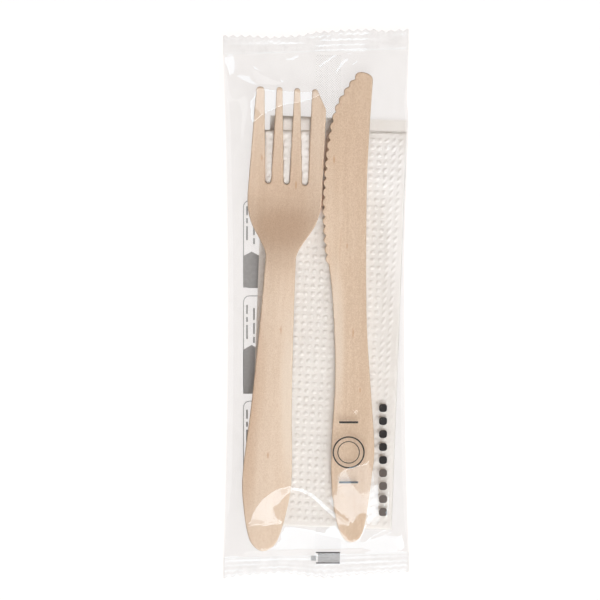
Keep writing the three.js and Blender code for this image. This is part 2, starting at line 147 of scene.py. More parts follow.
def ranged(tree, value, low, high, to_low=0.0, to_high=1.0):
    """A value carried from one range to another, held at its ends."""
    sockets = {0: value, 1: low, 2: high, 3: to_low, 4: to_high}
    return add_node(tree, "ShaderNodeMapRange", sockets, interpolation_type="SMOOTHSTEP").outputs[0]


def object_place(tree):
    return add_node(tree, "ShaderNodeTexCoord").outputs["Object"]


def turned(tree, turn, scale):
    """Object coordinates turned with a piece and scaled, per metre."""
    sockets = {"Vector": object_place(tree), "Rotation": (0, 0, math.radians(turn)), "Scale": scale}
    return add_node(tree, "ShaderNodeMapping", sockets).outputs[0]


def speckle(tree, vector, detail=4.0, roughness=0.55):
    """A noise value over scaled coordinates."""
    sockets = {"Vector": vector, "Scale": 1.0, "Detail": detail, "Roughness": roughness}
    return add_node(tree, "ShaderNodeTexNoise", sockets).outputs["Fac"]


def make_dull(tree, shader, colour, height, depth, roughness, specular):
    """Gives a shader its colour, fine relief from a height value, and a dull sheen."""
    relief = add_node(tree, "ShaderNodeBump", {"Strength": 0.25, "Distance": depth, "Height": height})
    fill(tree, shader, {"Base Color": colour, "Normal": relief.outputs[0]})
    fill(tree, shader, {"Roughness": roughness, "Specular IOR Level": specular})


def spot(tree, px, py, half_width, half_length):
    """A soft oval mask round a pixel, its half sizes in mm."""
    place = from_pixel(px, py)
    away = vector_maths(tree, "SUBTRACT", object_place(tree), (place.x, place.y, 0)).outputs[0]
    scale = (1 / (half_width * MM), 1 / (half_length * MM), 0)
    scaled = vector_maths(tree, "MULTIPLY", away, scale).outputs[0]
    length = vector_maths(tree, "LENGTH", scaled).outputs["Value"]
    return ranged(tree, length, 0.3, 1.0, 1.0, 0.0)


def patched(tree, colour, patches, share, tint, blend="MIX"):
    """A colour tinted in soft ovals, by their own shares or the one given."""
    for px, py, half_width, half_length, *own in patches:
        mask = maths(tree, "MULTIPLY", spot(tree, px, py, half_width, half_length), *(own or [share]))
        colour = mixed(tree, mask, colour, tint, blend)
    return colour


# Birch grain: scales across, along and through the fibres, per metre, then detail and roughness
GRAIN_LAYERS = {
    "fibre": ((750, 26, 300), 4.0, 0.55),
    "fine": ((2600, 190, 1200), 3.0, 0.7),
    "broad": ((90, 9, 60), 2.0, 0.55),
    "grit": ((3000, 2000, 2000), 2.0, 0.6),
    "rust": ((420, 34, 200), 1.0, 0.55),
    "pores": ((2900, 900, 900), 2.0, 0.6),
}
GRAIN_WEIGHTS = {"broad": 0.35, "fibre": 0.27, "fine": 0.2, "grit": 0.8}
GRAIN_TONES = (0.62, 1.0)
RUST_STREAKS = (0.7, 0.82, 0.0, 0.4)
RUST_PORES = (0.64, 0.76, 0.0, 0.3)

# Birch: colours, and soft ovals as pixels with half sizes in mm and at times a share; the shade ovals are
# painted shade, the light ovals painted light, the flecks rust
RUST = (0.6, 0.33, 0.17, 1)
CUT_EDGE = (0.55, 0.36, 0.23, 1)
# painted light: the paler, greyer wood that lit places are mixed towards
PAINTED_LIGHT_WOOD = (0.87, 0.77, 0.66, 1)
CUT_EDGE_SHARE = 0.25
# painted light: how far lit places are mixed towards it
PAINTED_LIGHT_SHARE = 0.5
FLECK_SHARE = 0.55
WOOD_RELIEF = 0.05 * MM
FORK_LOOK = {
    "pale": (0.84, 0.69, 0.555, 1),
    "deep": (0.73, 0.565, 0.43, 1),
    # painted shade: the bowl, where the neck dips away from the lamp, and the handle's left side, darkened
    "painted_shade": [
        (284, 228, 15, 10, 0.25), (284, 212, 17, 34, 0.3), (248, 440, 4, 36, 0.35), (257, 365, 4, 30, 0.3),
    ],
    # painted light: paler, greyer wood on the handle's lit right side
    "painted_light": [(289, 400, 4, 40)],
    "flecks": [(296, 185, 0.5, 2.2), (262, 158, 0.4, 1.5), (281, 330, 0.4, 1.8), (268, 455, 0.5, 1.6)],
}
KNIFE_LOOK = {
    "pale": (0.84, 0.675, 0.53, 1),
    "deep": (0.7, 0.525, 0.38, 1),
    # painted shade: the blade darkened towards its upper end
    "painted_shade": [(352, 130, 16, 45, 0.12)],
    # painted light: paler, greyer wood along the handle's lit left side
    "painted_light": [(336, 340, 4, 34)],
    "flecks": [(334, 160, 0.5, 2.0), (353, 333, 0.5, 2.4), (347, 246, 0.4, 1.4), (360, 390, 0.4, 1.3)],
}


def birch_grain():
    """A node group of long fibres, broad bands, grit, and short rusty streaks and pores."""
    group = bpy.data.node_groups.new("birch_grain", "ShaderNodeTree")
    socket = group.interface.new_socket
    socket("Along", in_out="INPUT", socket_type="NodeSocketVector")
    for name in ("Pale", "Deep", "Rust"):
        socket(name, in_out="INPUT", socket_type="NodeSocketColor")
    socket("Color", in_out="OUTPUT", socket_type="NodeSocketColor")
    socket("Height", in_out="OUTPUT", socket_type="NodeSocketFloat")
    start = group.nodes.new("NodeGroupInput")
    end = group.nodes.new("NodeGroupOutput")
    layers = {}
    for name, (scale, detail, roughness) in GRAIN_LAYERS.items():
        mapping = add_node(group, "ShaderNodeMapping", {"Vector": start.outputs["Along"], "Scale": scale})
        layers[name] = speckle(group, mapping.outputs[0], detail, roughness)
    depth = 0.0
    for name, weight in GRAIN_WEIGHTS.items():
        depth = maths(group, "MULTIPLY_ADD", layers[name], weight, depth)
    wood = mixed(group, ranged(group, depth, *GRAIN_TONES), start.outputs["Pale"], start.outputs["Deep"])
    wood = mixed(group, ranged(group, layers["rust"], *RUST_STREAKS), wood, start.outputs["Rust"])
    wood = mixed(group, ranged(group, layers["pores"], *RUST_PORES), wood, start.outputs["Rust"])
    fill(group, end, {"Color": wood, "Height": maths(group, "ADD", layers["fine"], layers["fibre"])})
    return group


def birch(name, grain, turn, pale, deep, painted_shade, painted_light, flecks):
    """Bare sanded birch, browner on its cut edges, with rusty places, painted shade where it lies in shade
    and painted light where it is lit.
    """
    made, tree, shader = new_material(name)
    sockets = {"Along": turned(tree, turn, (1, 1, 1)), "Pale": pale, "Deep": deep, "Rust": RUST}
    wood = add_node(tree, "ShaderNodeGroup", sockets, node_tree=grain)
    normal = add_node(tree, "ShaderNodeNewGeometry").outputs["Normal"]
    upright = add_node(tree, "ShaderNodeSeparateXYZ", {0: normal}).outputs["Z"]
    side = ranged(tree, maths(tree, "ABSOLUTE", upright), 0.35, 0.8, 1.0, 0.0)
    colour = mixed(tree, maths(tree, "MULTIPLY", side, CUT_EDGE_SHARE), wood.outputs["Color"], CUT_EDGE)
    # painted shade: the wood darkened in the shade ovals
    colour = patched(tree, colour, painted_shade, None, deep, "MULTIPLY")
    # painted light: the wood paled in the light ovals
    colour = patched(tree, colour, painted_light, PAINTED_LIGHT_SHARE, PAINTED_LIGHT_WOOD)
    colour = patched(tree, colour, flecks, FLECK_SHARE, RUST)
    make_dull(tree, shader, colour, wood.outputs["Height"], WOOD_RELIEF, roughness=0.62, specular=0.25)
    return made


# Tissue: colours, and soft ovals as pixels with half sizes in mm and a share; brown painted shade in the gap
# between the fork and the knife, and white painted light on the right-hand strip and in a slot between the
# tines
TISSUE_DEEP = (0.85, 0.82, 0.79, 1)
TISSUE_PALE = (0.92, 0.9, 0.87, 1)
TISSUE_SHADE_BROWN = (1.0, 0.6, 0.4, 1)
TISSUE_LIGHT_WHITE = (0.99, 0.98, 0.97, 1)
TISSUE_RELIEF = 0.06 * MM
# painted shade: brown where the gap between the fork and the knife lies in shade
TISSUE_SHADE_SPOTS = [(328, 158, 2.6, 12, 0.7), (321, 195, 2.0, 9, 0.7)]
# painted light: whiter on the right-hand strip, its upper part and the slot between the third and fourth
# tines, where shade falls
TISSUE_LIGHT_SPOTS = [(398, 235, 6, 34, 0.6), (388, 166, 13, 16, 1.0), (305, 155, 1.7, 12, 0.7)]


def tissue_paper():
    """White tissue with fine pressed fibres, with brown painted shade and white painted light in places."""
    made, tree, shader = new_material("embossed_tissue")
    fibres = speckle(tree, turned(tree, NAPKIN_TURN, (2400, 1500, 1500)), 4.0, 0.65)
    cloud = speckle(tree, turned(tree, NAPKIN_TURN, (160, 160, 160)), 3.0)
    tone = maths(tree, "MULTIPLY_ADD", fibres, 0.6, maths(tree, "MULTIPLY", cloud, 0.4))
    colour = mixed(tree, ranged(tree, tone, 0.3, 0.7), TISSUE_DEEP, TISSUE_PALE)
    # painted shade: brown in the gap beside the wood
    colour = patched(tree, colour, TISSUE_SHADE_SPOTS, None, TISSUE_SHADE_BROWN, "MULTIPLY")
    # painted light: whiter where shade falls
    colour = patched(tree, colour, TISSUE_LIGHT_SPOTS, None, TISSUE_LIGHT_WHITE)
    make_dull(tree, shader, colour, fibres, TISSUE_RELIEF, roughness=0.9, specular=0.1)
    return made


# Film: the share that it mirrors straight on, what it gains at a grazing angle, and its knurl, whose pale
# dots glow with painted light
MIRROR_SHARE = 0.072
GRAZING_GAIN = 0.12
FILM_TINT = (0.66, 0.645, 0.64, 1)
KNURL_PITCH = 0.86 * MM
KNURL_SHARE = 0.17
# painted light: how brightly the knurl's dots glow
KNURL_PAINTED_GLOW = 0.3
WHITE = (1, 1, 1, 1)


def film_finish(name, haze, roughness):
    """Clear film, which mirrors a share, lets the rest through and has a little haze."""
    made, tree, shader = new_material(name)
    facing = add_node(tree, "ShaderNodeLayerWeight", {"Blend": 0.5}).outputs["Facing"]
    shine = maths(tree, "MULTIPLY_ADD", maths(tree, "POWER", facing, 5.0), GRAZING_GAIN, MIRROR_SHARE)
    cloud = speckle(tree, turned(tree, 0, (260, 180, 200)), 3.0)
    veil = ranged(tree, cloud, 0.35, 0.75, 0.4 * haze, haze)
    alpha = maths(tree, "ADD", shine, veil, clamp=True)
    fill(tree, shader, {"Base Color": FILM_TINT, "Alpha": alpha, "Metallic": 1.0, "Roughness": roughness})
    return made


def knurled_finish(name, roughness):
    """Clear film pressed to a grid of pale dots, which glow a little as painted light."""
    made, tree, shader = new_material(name)
    parts = add_node(tree, "ShaderNodeSeparateXYZ", {0: object_place(tree)})
    waves = [maths(tree, "SINE", maths(tree, "MULTIPLY", parts.outputs[axis], 2 * math.pi / KNURL_PITCH))
             for axis in ("X", "Y")]
    dots = ranged(tree, maths(tree, "MULTIPLY", *waves), 0.1, 0.7, 0.0, KNURL_SHARE)
    fill(tree, shader, {"Base Color": WHITE, "Alpha": dots, "Roughness": roughness})
    # painted light: the dots glow white
    fill(tree, shader, {"Emission Color": WHITE, "Emission Strength": KNURL_PAINTED_GLOW})
    return made


def ink(name, colour):
    """Printed ink, slightly uneven."""
    made, tree, shader = new_material(name)
    patch = speckle(tree, turned(tree, 0, (900, 900, 900)), 3.0)
    lighter = [min(1, part * 1.08 + 0.005) for part in colour]
    tone = mixed(tree, ranged(tree, patch, 0.35, 0.7), (*colour, 1), (*lighter, 1))
    fill(tree, shader, {"Base Color": tone, "Roughness": 0.45})
    return made


# Mesh helpers
def add_object(name, data):
    """A new object of the scene."""
    made = bpy.data.objects.new(name, data)
    bpy.context.scene.collection.objects.link(made)
    return made


def finish_piece(name, mesh, materials, node=None):
    for finish in materials:
        mesh.materials.append(finish)
    mesh.shade_smooth()
    piece = add_object(name, mesh)
    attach(piece, "root")
    if node:
        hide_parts(node)
    return piece


def mesh_from(bm, name):
    mesh = bpy.data.meshes.new(name)
    bm.to_mesh(mesh)
    bm.free()
    return mesh


def tree_of(piece):
    """A piece's faces, ready for ray casts."""
    bm = bmesh.new()
    bm.from_mesh(piece.data)
    tree = BVHTree.FromBMesh(bm)
    bm.free()
    return tree


def grid_of(bm, columns, rows):
    """A new grid's vertices, as a table by row and column."""
    made = bmesh.ops.create_grid(bm, x_segments=columns, y_segments=rows, size=0.5)["verts"]
    table = [[None] * (columns + 1) for _ in range(rows + 1)]
    for vert in made:
        column = round((vert.co.x + 0.5) * columns)
        row = round((vert.co.y + 0.5) * rows)
        table[row][column] = vert
    return table


def place_grid(table, x, y, z):
    """Puts a grid's vertices at arrays of coordinates."""
    for row, verts in enumerate(table):
        for column, vert in enumerate(verts):
            vert.co = (x[row][column], y[row][column], z[row][column])


# Fork and knife: the size of the remeshed cells, and how often their edges are rubbed
FORK_SANDING = (0.3 * MM, 4)
KNIFE_SANDING = (0.28 * MM, 3)


def sanded_copy(node, voxel, rounds):
    """A copy of a wooden solid, remeshed evenly and rubbed down at its edges."""
    bm = bmesh.new()
    bm.from_mesh(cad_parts[node].data)
    bmesh.ops.remove_doubles(bm, verts=bm.verts, dist=1e-6)
    blank = add_object(node + "_blank", mesh_from(bm, node + "_blank"))
    remesh = blank.modifiers.new("remesh", "REMESH")
    remesh.mode = "VOXEL"
    remesh.voxel_size = voxel
    rub = blank.modifiers.new("rub", "SMOOTH")
    rub.factor = 0.5
    rub.iterations = rounds
    bpy.context.view_layer.update()
    depsgraph = bpy.context.evaluated_depsgraph_get()
    mesh = bpy.data.meshes.new_from_object(blank.evaluated_get(depsgraph))
    bpy.data.objects.remove(blank)
    mesh.materials.clear()
    return mesh


# Napkin, as in the solids
NAPKIN_WIDTH = 50 * MM
NAPKIN_LENGTH = 138 * MM
NAPKIN_LIP = 5.2 * MM
NAPKIN_LIP_INSET = 2.1 * MM
NAPKIN_LEAF = 1.3 * MM
NAPKIN_THIN = 0.5 * MM
NAPKIN_TAPER = 16 * MM

# The leaves' folds, plies, waves and plain margins, and how far the upper one fans out at its right
FOLD_REACH = 1.2 * MM
FOLD_DROP = 0.6 * MM
FOLD_INWARD = 0.35 * MM
OPEN_DROP = 0.32 * MM
PLY_STEP = 0.06 * MM
LEAF_WAVE = 0.09 * MM
FOLD_MARGIN = 2.6 * MM
FOOT_MARGIN = 1.6 * MM
OPEN_MARGIN = 0.7 * MM
NAPKIN_FAN = 1 * MM
SHARP_ANGLE = 55

# The leaves' grids, the lower one's with its rows counted up to four places along it
UPPER_LEAF = {"layer": 1, "spacing": 0.3 * MM, "plies": 3}
LOWER_LEAF = {"layer": 0, "spacing": 0.45 * MM, "plies": 4}
UPPER_ROWS = 460
LOWER_ROWS = [0, 8, 52, 70]
LOWER_PLACES = [0, 3 * MM, NAPKIN_LENGTH - 2 * MM, NAPKIN_LENGTH + NAPKIN_LIP]

# Embossing: square pimples with a hollow in each, slanted and lower near the right-hand fold
EMBOSS_TURN = 3.5
EMBOSS_ACROSS = 2.52 * MM
EMBOSS_ALONG = 2.62 * MM
EMBOSS_HEIGHT = 0.25 * MM
PIMPLE_REACH = (0.48 * MM, 0.68 * MM)
HOLLOW_REACH = (0.1 * MM, 0.42 * MM)
HOLLOW_SHARE = 0.5
SLANT_START = (17.6 * MM, 18.6 * MM)
SLANT = 0.75
SLANT_LOSS = 0.25

# Where the leaves swell up between the tines: pixel columns and rows over which it comes and goes
SWELL = 1.7 * MM
LOWER_SWELL_LOSS = 0.6 * MM
WOOD_CLEARANCE = 0.15 * MM
SWELL_RIGHT = (308, 322)
UPPER_SWELL = {"left": (258, 268), "upper": (127, 131), "lower": (182, 235)}
LOWER_SWELL = {"left": (277, 284), "upper": (108, 121), "lower": (133, 143)}


def napkin_place(u, v):
    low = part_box("napkin")[0]
    turn = math.radians(NAPKIN_TURN)
    x0 = low.x + NAPKIN_WIDTH / 2 * math.cos(turn)
    y0 = low.y + NAPKIN_WIDTH / 2 * math.sin(turn)
    return x0 + u * math.cos(turn) + v * math.sin(turn), y0 - u * math.sin(turn) + v * math.cos(turn)


def embossing(u, v):
    """Height of the pressed pimples over a leaf."""
    lean = math.radians(EMBOSS_TURN - NAPKIN_TURN)
    across = (u * math.cos(lean) - v * math.sin(lean)) / EMBOSS_ACROSS
    along = (u * math.sin(lean) + v * math.cos(lean)) / EMBOSS_ALONG
    slanted = smooth_step(*SLANT_START, u)
    along = along - slanted * SLANT * (across - np.round(across))
    du = (across - np.round(across)) * EMBOSS_ACROSS
    dv = (along - np.round(along)) * EMBOSS_ALONG
    reach = (np.abs(du) ** 4 + np.abs(dv) ** 4) ** 0.25
    pimple = 1 - smooth_step(*PIMPLE_REACH, reach)
    hollow = HOLLOW_SHARE * (1 - smooth_step(*HOLLOW_REACH, reach))
    return EMBOSS_HEIGHT * (1 - SLANT_LOSS * slanted) * (pimple - hollow)


def leaf_thickness(v):
    """A leaf's thickness along the napkin, pressed thin at the open end."""
    return NAPKIN_THIN + (NAPKIN_LEAF - NAPKIN_THIN) * np.clip((NAPKIN_LENGTH - v) / NAPKIN_TAPER, 0, 1)


def swelling(x, y, top, wood, highest, swell):
    """How far the tissue swells up between the fork's tines, clear of the wood."""
    px, py = to_pixel(x, y)
    share = between(swell["left"], SWELL_RIGHT, px) * between(swell["upper"], swell["lower"], py)
    reach = highest - top
    room = reach.copy()
    for place in zip(*np.nonzero(share)):
        start = Vector((x[place], y[place], top[place]))
        hit = wood.ray_cast(start, UP)[0]
        if hit:
            room[place] = max(0, min(room[place], hit.z - start.z - WOOD_CLEARANCE))
    return np.minimum(reach * share, room)


def leaf_top(bm, base, wood, layer, left, along, spacing, highest, swell):
    """A leaf's embossed top: its vertices by row and column, and its foot's heights."""
    right = NAPKIN_WIDTH / 2
    columns = round((right - left) / spacing)
    u, v = np.meshgrid(np.linspace(left, right, columns + 1), along)
    length = along[-1] + layer * NAPKIN_FAN * (u - left) / (right - left)
    v = v * length / along[-1]
    x, y = napkin_place(u, v)
    by_right = np.clip(1 - (right - u) / FOLD_REACH, 0, 1)
    by_foot = np.clip(1 - v / FOLD_REACH, 0, 1)
    by_open = np.clip(1 - (length - v) / FOLD_REACH, 0, 1)
    rounded = FOLD_DROP * np.maximum(1 - np.sqrt(1 - by_right**2), 1 - np.sqrt(1 - by_foot**2))
    rounded = rounded * leaf_thickness(v) / NAPKIN_LEAF + layer * OPEN_DROP * by_open**2
    top = base + (layer + 1) * leaf_thickness(v)
    inside = smooth_step(0, FOLD_MARGIN, right - u) * smooth_step(0, FOOT_MARGIN, v)
    inside *= smooth_step(0, OPEN_MARGIN, u - left) * smooth_step(0, OPEN_MARGIN, length - v)
    z = top - EMBOSS_HEIGHT - rounded + LEAF_WAVE * noise_grid(u, v, 70, 45, layer) * inside
    z = z + layer * embossing(u, v) * inside + swelling(x, y, top, wood, highest, swell)
    table = grid_of(bm, columns, len(along) - 1)
    place_grid(table, x, y, z)
    return table, base + layer * leaf_thickness(v)


def inward_ways(table, feet):
    """For each vertex of a leaf: its way inwards, its foot's height, and whether it is on a fold."""
    turn = math.radians(NAPKIN_TURN)
    last_row = len(table) - 1
    last_column = len(table[0]) - 1
    found = {}
    for row, verts in enumerate(table):
        for column, vert in enumerate(verts):
            du = (column == 0) - (column == last_column)
            dv = (row == 0) - (row == last_row)
            way_x = du * math.cos(turn) + dv * math.sin(turn)
            way_y = dv * math.cos(turn) - du * math.sin(turn)
            found[vert] = (Vector((way_x, way_y, 0)), feet[row, column], column == last_column or row == 0)
    return found


def leaf_sides(bm, inward, plies):
    """Sides that round under at a leaf's folds and step with its plies elsewhere, and its foot."""
    rim = [edge for edge in bm.edges if edge.is_boundary]
    steps = 2 * plies
    for step in range(steps):
        before = {vert.co.to_tuple(7): inward[vert] for edge in rim for vert in edge.verts}
        grown = bmesh.ops.extrude_edge_only(bm, edges=rim)["geom"]
        rim = [part for part in grown if isinstance(part, bmesh.types.BMEdge)]
        start = math.sqrt(1 - (step / steps) ** 2)
        end = math.sqrt(1 - ((step + 1) / steps) ** 2)
        under = FOLD_INWARD * (start - end)
        ply = PLY_STEP * (1 if step % 2 == 0 else -1)
        for vert in {vert for edge in rim for vert in edge.verts}:
            inward[vert] = before[vert.co.to_tuple(7)]
            way, foot, folded = inward[vert]
            vert.co += way * (under if folded else ply)
            vert.co.z += (foot - vert.co.z) / (steps - step)
    bmesh.ops.contextual_create(bm, geom=rim)
    bmesh.ops.recalc_face_normals(bm, faces=bm.faces)


def napkin_leaf(base, wood, leaf, left, along, highest, swell):
    """One folded leaf, in a bmesh of its own."""
    bm = bmesh.new()
    table, feet = leaf_top(bm, base, wood, leaf["layer"], left, along, leaf["spacing"], highest, swell)
    leaf_sides(bm, inward_ways(table, feet), leaf["plies"])
    return bm


def make_napkin(tissue, fork):
    """Two folded leaves, the lower one longer by its lip."""
    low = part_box("napkin")[0]
    left = -NAPKIN_WIDTH / 2
    wood = tree_of(fork)
    highest = low.z + 2 * NAPKIN_LEAF + SWELL
    along = np.linspace(0, NAPKIN_LENGTH, UPPER_ROWS + 1)
    bm = napkin_leaf(low.z, wood, UPPER_LEAF, left, along, highest, UPPER_SWELL)
    upper = mesh_from(bm, "tissue_upper_leaf")
    along = np.interp(np.arange(LOWER_ROWS[-1] + 1), LOWER_ROWS, LOWER_PLACES)
    left = NAPKIN_LIP_INSET - NAPKIN_WIDTH / 2
    bm = napkin_leaf(low.z, wood, LOWER_LEAF, left, along, highest - LOWER_SWELL_LOSS, LOWER_SWELL)
    bm.from_mesh(upper)
    bpy.data.meshes.remove(upper)
    napkin = finish_piece("tissue_napkin", mesh_from(bm, "tissue_napkin"), [tissue], "napkin")
    napkin.data.set_sharp_from_angle(angle=math.radians(SHARP_ANGLE))
    return napkin


# Film sachet, as in the solids
SEAL_WIDTH = 6.1 * MM
CUT_DEPTH = 0.9 * MM
CUT_PITCH = 2.9 * MM
SEAL_LIFT = 2 * MM
SEAL_RIDGES = 4
END_SLOPE = 0.03
FIN_WIDTH = 8.8 * MM
FIN_LIFT = 0.3 * MM
FILM_GAP = 0.1 * MM

# The film's grid, its rim over the back, and how far from the seals its back lifts
FILM_COLUMNS = 112
BAND_ROWS = 28
BODY_ROWS = 340
FILM_RIM = 0.35 * MM
BACK_LIFT = 0.03 * MM
FIN_EASE = 2 * MM
UPPER_RAMP = 21 * MM
LOWER_RAMP = 9 * MM
SEAL_CLEARANCE = 1.2 * MM
BESIDE_FIN = -15 * MM
SIDE_LEVEL = 0.3 * MM
CLEAR, CRIMPED, KNURLED = range(3)

# Welded bands: their level and weld, ridges, bolder ones between two pixel columns, and crinkles
SEAL_HALF = 0.1 * MM
WELD = 0.04 * MM
RIDGE = 0.05 * MM
BOLD_RIDGE = 0.15 * MM
BOLD_LEFT = (312, 320)
BOLD_RIGHT = (362, 370)
UPPER_CRINKLE = 0.22 * MM
LOWER_CRINKLE = 0.08 * MM

# How far the cut edges stand from a straight line, by pixel columns, in pixels outwards
TOP_WAVE = [(224, 0), (252, -1), (270, -3), (300, -2), (318, 1), (345, 2), (372, 2), (384, 0), (407, 1)]
BOTTOM_WAVE = [(224, 1), (240, -1), (264, -2), (282, -3), (300, 0), (325, 4), (348, 2), (372, 1), (404, 0)]

# Fine looseness of the front inside its calm margin, and the pleats gathered below its upper seal
LOOSENESS = 0.03 * MM
CALM_MARGIN = 5 * MM
PLEAT_HEIGHT = 0.22 * MM
PLEAT_LEAN = 90 / 230
PLEAT_START = (0, 2 * MM)
PLEAT_END = (4 * MM, 11 * MM)

# Places where trapped air holds the front up, as pixels with a height in mm
SUPPORTS = [
    [(289, 486, 8.15), (279, 487, 8.1), (270, 492, 7.9), (262, 498, 7.65), (257, 505, 7.35), (252, 513, 7.0)],
    [(342, 464, 8.1), (374, 462, 8.1)],
    [(249, 97, 8.1), (250, 115, 8.3), (251, 133, 8.5)],
    [(252, 546, 6.6), (278, 546, 6.6)],
]

# Lines where the front is drawn down: pixels with heights in mm, and the slope on both sides, in degrees
PINCHES = [
    ([(388, 150, 3.7), (387, 300, 3.7), (385, 425, 3.7)], 24),
    ([(385, 425, 3.7), (384, 515, 3.7)], 40),
]

# The facet over the tines, which stands up like a lid: outline and hinge as pixels, and slopes in degrees
TINE_LID = [
    (230, 78), (246, 83), (255, 86), (269, 88.4), (283, 89.8), (297, 90.5), (311, 91), (328, 92),
    (319, 98), (312, 100), (300, 103.6), (284, 106), (277, 108.4), (270, 112), (263, 116), (256, 123),
    (251, 131), (247, 146), (243, 146), (245, 128), (249, 112), (249, 98), (246, 91), (240, 86),
]
TINE_HINGE = [
    (328, 92), (312, 100), (300, 103.6), (284, 106), (270, 112),
    (263, 116), (256, 123), (251, 132), (246, 147),
]
LID_SLOPE = 16.5
LID_FALL = 32

GLARE_AZIMUTH = -77
GLARE_HALF_WIDTH = 10.5
VIEW_LEAN = 59.4
DARK_LEAN = 3

# How the skin is drawn taut, eased and settled
TAUT_ROUNDS = 6
EASE_ROUNDS = 6
SIDE_FALLS = (-0.06, 0.05)
SKIN_REACH = 40 * MM
SKIN_ROUNDS = 1200
SKIN_MOMENTUM = 0.97

# Shapes of the front that glare or stay dark, as pixels
OVER_TINES = [(225, 70), (330, 70), (330, 125), (262, 125), (240, 150), (225, 150)]
FOOT_FIELD = [
    (226, 512), (246, 524), (284, 526), (306, 530), (321, 535), (337, 540), (350, 543), (358, 534),
    (380, 522), (404, 508), (405, 548), (225, 548),
]
FOOT_EDGE = [(225, 548), (405, 548), (405, 558), (225, 558)]
FORK_END = [(246, 525), (284, 526), (282, 540), (276, 547), (263, 551), (254, 547), (248, 538)]
BETWEEN_HANDLES = [
    (291, 440), (340, 440), (343, 470), (343, 515), (335, 538), (321, 534), (306, 529), (284, 525),
    (283, 522), (280, 514), (280, 505), (284, 498), (290, 488),
]
FORK_VEIL = [
    (289, 486), (279.5, 487), (270, 492), (261.6, 498), (256.8, 505), (252, 513.4), (252, 524), (283, 525),
    (282, 522), (279, 516), (278.4, 507), (282, 499), (288, 490.6),
]
FOOT_PATCH = [(284, 526), (306, 530), (321.5, 535), (322, 541), (300, 542), (284, 541)]
KNIFE_VEIL = [
    (344, 469), (358, 465), (372, 467), (380, 480), (380, 520), (366, 534), (358, 534), (352, 527),
    (346, 521), (343, 512), (344, 490),
]
KNIFE_GLINT = [(351, 410), (372, 414), (372, 421), (360, 417)]
KNIFE_END = [(337, 520), (346, 525), (355, 532), (350, 541.5), (343, 538.5)]

# The lean off the vertical that each shape mirrors, or none where it lies freely: later ones go on top
GLARES = [
    (OVER_TINES, None), (FOOT_FIELD, 20.7), (FOOT_EDGE, None), (FORK_END, 4), (BETWEEN_HANDLES, 0),
    (FORK_VEIL, 17), (FOOT_PATCH, 18), (KNIFE_VEIL, 15.5), (KNIFE_GLINT, 16), (KNIFE_END, 2),
]

# Fold lines of the front, through pixels: height, then the reach of each side, in mm
CREASES = [
    ([(226, 510), (246, 522), (252, 525)], 0.2, 0.8, 0.8),
    ([(353, 550), (402, 527)], 0.3, 2.5, 1.5),
    ([(282, 88), (288, 68), (300, 56)], 0.22, 0.9, 0.9),
    ([(329, 87), (344, 65), (351, 58.6)], 0.62, 1.0, 1.3),
    ([(318, 70), (330, 61), (339, 54)], 0.5, 0.8, 0.9),
    ([(345, 54), (354, 55.7), (361, 58), (366, 63)], 0.5, 0.9, 0.8),
    ([(351, 68.6), (356, 63.6), (361, 60.7)], 0.4, 0.7, 0.8),
    ([(366, 51), (378, 56.4)], 0.4, 0.8, 0.8),
    ([(272, 54), (281, 61), (292, 61), (306, 53)], 0.25, 1.2, 1.2),
    ([(291, 486), (302, 488), (312, 493), (322, 501), (330, 509), (338, 515), (346, 521), (355, 532)],
     0.12, 0.5, 0.6),
]
CREASE_FADE = 6
INNER = np.s_[1:-1, 1:-1]
FINE_STEP = 0.4 * MM
COARSE_STEP = 0.6 * MM


def polyline_points(points, step):
    """Points along a line through pixels, with the corners' other values carried along."""
    found = []
    for first, second in zip(points, points[1:]):
        a = from_pixel(*first[:2])
        b = from_pixel(*second[:2])
        count = max(1, round((b - a).length / step))
        for part in range(count + 1):
            share = part / count
            rest = [one + (two - one) * share for one, two in zip(first[2:], second[2:])]
            found.append((*a.lerp(b, share), *rest))
    return np.array(found)


def distance_to(x, y, points):
    """How far each place is from a line through pixels."""
    line = [from_pixel(*point) for point in points]
    nearest = np.full(x.shape, 1.0)
    for a, b in zip(line, line[1:]):
        way = b - a
        share = np.clip(((x - a.x) * way.x + (y - a.y) * way.y) / way.length_squared, 0, 1)
        nearest = np.minimum(nearest, np.hypot(x - a.x - share * way.x, y - a.y - share * way.y))
    return nearest


def within(x, y, points):
    """Which places are inside a shape through pixels."""
    line = [from_pixel(*point) for point in points]
    inside = np.zeros(x.shape, bool)
    for a, b in zip(line, line[1:] + line[:1]):
        if a.y == b.y:
            continue
        spans = (a.y > y) != (b.y > y)
        inside ^= spans & (x < a.x + (y - a.y) * (b.x - a.x) / (b.y - a.y))
    return inside


def film_sides(rows):
    """The sachet's sides and back along its length, read off its solid."""
    solid = tree_of(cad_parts["film_sachet"])
    found = []
    for y in rows:
        back = solid.ray_cast(Vector((BESIDE_FIN, y, -FAR)), UP)[0].z
        level = back + SIDE_LEVEL
        left = solid.ray_cast(Vector((-FAR, y, level)), Vector((1, 0, 0)))[0].x
        right = solid.ray_cast(Vector((FAR, y, level)), Vector((-1, 0, 0)))[0].x
        found.append((left, right, back))
    return [np.array(column) for column in zip(*found)]


